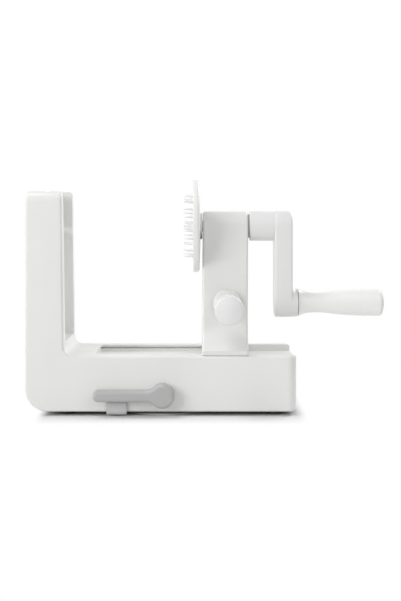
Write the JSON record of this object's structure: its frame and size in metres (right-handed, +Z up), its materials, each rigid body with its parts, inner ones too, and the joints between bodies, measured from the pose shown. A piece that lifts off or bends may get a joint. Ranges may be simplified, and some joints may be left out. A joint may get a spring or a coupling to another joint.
{
  "type": "hand cranked vegetable spiralizer",
  "caption": "White hand-cranked vegetable spiralizer: upright blade frame, toothed food holder on a sliding carriage, crank, side handle and suction-lever base.",
  "frame": {"origin": "centre of the suction pad's flat underside, on the counter", "axes": "+X along the deck from the blade frame to the crank, +Z up, -Y to the lever side"},
  "size_m": [0.3676, 0.1725, 0.237],
  "materials": {
    "white_shell": "satin moulded ABS",
    "white_carriage": "satin moulded ABS",
    "white_handle": "smooth turned-form plastic",
    "white_holder": "smooth moulded plastic",
    "cassette_white": "satin moulded plastic",
    "handle_cap": "fine matte plastic",
    "grey_lever": "satin grey plastic",
    "grey_rubber": "soft matte rubber",
    "foot_rubber": "matte rubber",
    "under_cover": "matte moulded plastic",
    "bearing_plastic": "acetal",
    "blade_steel": "ground stainless steel",
    "axle_steel": "turned stainless steel",
    "screw_steel": "plated steel"
  },
  "bodies": {
    "base": {"main_body": "white_shell", "bottom_cover": "under_cover", "bottom_screws": "screw_steel", "rubber_feet": "foot_rubber", "lever_bush_outer": "bearing_plastic", "lever_bush_inner": "bearing_plastic", "suction_pad": "grey_rubber", "stem_spring": "axle_steel"},
    "lever": {"suction_lever": "grey_lever", "lever_shaft": "axle_steel", "lever_cam": "bearing_plastic", "lever_clip": "screw_steel"},
    "stem": {"stem_yoke": "bearing_plastic"},
    "carriage": {"carriage_post": "white_carriage", "carriage_runner": "white_carriage", "carriage_screws": "screw_steel", "shaft_bush_front": "bearing_plastic", "shaft_bush_rear": "bearing_plastic", "side_handle": "white_handle", "side_handle_cap": "handle_cap", "side_handle_stud": "axle_steel", "side_handle_nut": "screw_steel"},
    "crank": {"crank_shaft": "axle_steel", "food_holder": "white_holder", "holder_screw": "screw_steel", "shaft_washer": "bearing_plastic", "crank_arm": "white_handle", "crank_screw": "screw_steel", "crank_screw_cap": "white_handle", "grip_axle": "axle_steel"},
    "grip": {"crank_grip": "white_handle", "crank_grip_cap": "handle_cap"},
    "blade_cassette": {"cassette_frame": "cassette_white", "spiral_blade": "blade_steel", "comb_blade": "blade_steel", "coring_tube": "blade_steel", "blade_screws": "screw_steel"}
  },
  "joints": [
    {"name": "carriage_slide", "type": "slide", "parent": "base", "child": "carriage", "axis": [1, 0, 0], "range_m": [-0.122, 0.046]},
    {"name": "crank_spin", "type": "hinge", "parent": "carriage", "child": "crank", "pos_m": [0.06, 0, 0.189], "axis": [1, 0, 0], "continuous": true},
    {"name": "grip_spin", "type": "hinge", "parent": "crank", "child": "grip", "pos_m": [0.18, 0, 0.109], "axis": [1, 0, 0], "continuous": true},
    {"name": "lever_turn", "type": "hinge", "parent": "base", "child": "lever", "pos_m": [0, -0.055, 0.021], "axis": [0, 1, 0], "range_deg": [0, 90]},
    {"name": "stem_lift", "type": "slide", "parent": "base", "child": "stem", "axis": [0, 0, 1], "range_m": [0, 0.0041], "deforming": ["stem_spring", "suction_pad"]},
    {"name": "cassette_lift", "type": "slide", "parent": "base", "child": "blade_cassette", "axis": [0, 0, 1], "range_m": [0, 0.16]}
  ],
  "couplings": [
    {"joint": "stem_lift", "follows": "lever_turn", "m_per_rad": 0.0025464}
  ]
}
